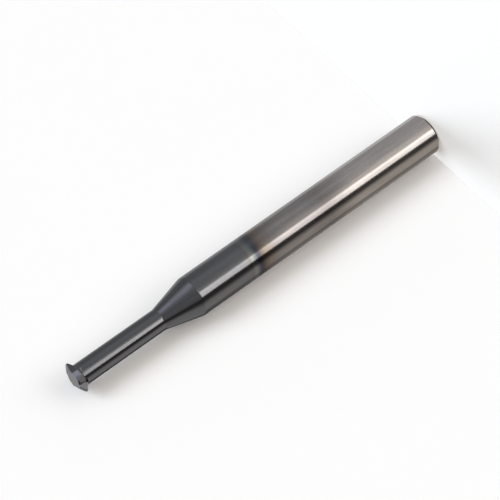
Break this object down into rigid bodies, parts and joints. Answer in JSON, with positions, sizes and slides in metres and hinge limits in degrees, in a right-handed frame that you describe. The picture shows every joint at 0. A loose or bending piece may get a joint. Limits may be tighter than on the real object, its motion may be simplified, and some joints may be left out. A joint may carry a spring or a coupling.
{
  "type": "thread mill",
  "caption": "Solid-carbide thread mill with a round shank, a conical step, a slim neck and a V-profile toothed head for milling internal threads.",
  "frame": {"origin": "centre of the flat shank end, which the tool stands on", "axes": "+Z along the tool's axis from the shank end to the cutting head; one cutting edge lies on +X and the next on +Y"},
  "size_m": [0.006, 0.006, 0.063],
  "materials": {
    "carbide": "ground carbide, with a dark blue-black hard coating on the head, neck and front of the shank"
  },
  "bodies": {
    "root": {"thread_mill": "carbide"}
  },
  "joints": []
}
